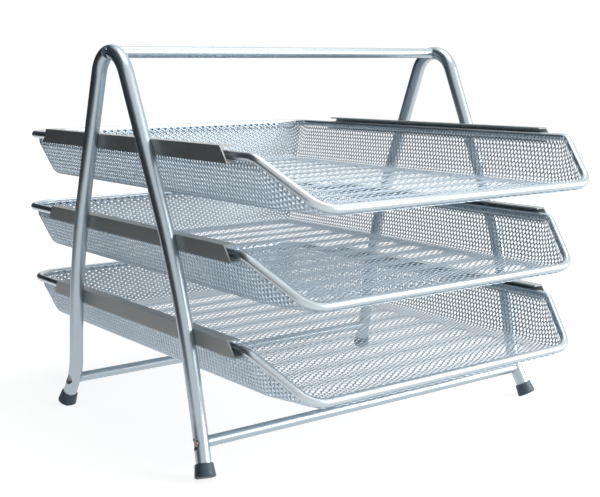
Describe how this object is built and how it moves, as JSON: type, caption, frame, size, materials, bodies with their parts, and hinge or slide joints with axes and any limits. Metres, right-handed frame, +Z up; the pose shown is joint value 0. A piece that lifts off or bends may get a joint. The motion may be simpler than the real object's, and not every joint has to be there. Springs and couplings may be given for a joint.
{
  "type": "letter tray set",
  "caption": "Tiered desk letter tray: open-front mesh trays with wire rims slide in folded rails on a bent-tube A-frame stand with a carry bar and slip-on feet.",
  "frame": {"origin": "on the table plane under the middle of the set's overall box", "axes": "+X from the left frame to the right frame, +Y to the back of the trays, +Z up"},
  "size_m": [0.302, 0.3956, 0.2685],
  "materials": {
    "frame_paint": "satin silver paint on steel tube",
    "rail_paint": "satin silver-grey paint on folded sheet",
    "rim_paint": "satin silver paint on steel wire",
    "mesh_paint": "silver paint on expanded steel mesh",
    "steel_screw": "zinc-plated pan-head screws",
    "steel_plug": "bare turned steel",
    "rubber_foot": "matt dark blue-grey rubber"
  },
  "bodies": {
    "stand": {"left_side_frame": "frame_paint", "right_side_frame": "frame_paint", "handle_bar": "frame_paint", "front_crossbar": "frame_paint", "rear_crossbar": "frame_paint", "handle_screws": "steel_screw", "crossbar_screws": "steel_screw", "handle_bar_plugs": "steel_plug", "crossbar_plugs": "steel_plug", "front_left_foot": "rubber_foot", "front_right_foot": "rubber_foot", "rear_left_foot": "rubber_foot", "rear_right_foot": "rubber_foot", "top_left_rail": "rail_paint", "top_right_rail": "rail_paint", "middle_left_rail": "rail_paint", "middle_right_rail": "rail_paint", "bottom_left_rail": "rail_paint", "bottom_right_rail": "rail_paint"},
    "top_tray": {"top_tray_rim": "rim_paint", "top_tray_basket": "mesh_paint"},
    "middle_tray": {"middle_tray_rim": "rim_paint", "middle_tray_basket": "mesh_paint"},
    "bottom_tray": {"bottom_tray_rim": "rim_paint", "bottom_tray_basket": "mesh_paint"}
  },
  "joints": [
    {"name": "top_tray_slide", "type": "slide", "parent": "stand", "child": "top_tray", "axis": [0, -1, 0], "range_m": [-0.014, 0.166]},
    {"name": "middle_tray_slide", "type": "slide", "parent": "stand", "child": "middle_tray", "axis": [0, -1, 0], "range_m": [0, 0.18]},
    {"name": "bottom_tray_slide", "type": "slide", "parent": "stand", "child": "bottom_tray", "axis": [0, -1, 0], "range_m": [0, 0.18]}
  ]
}
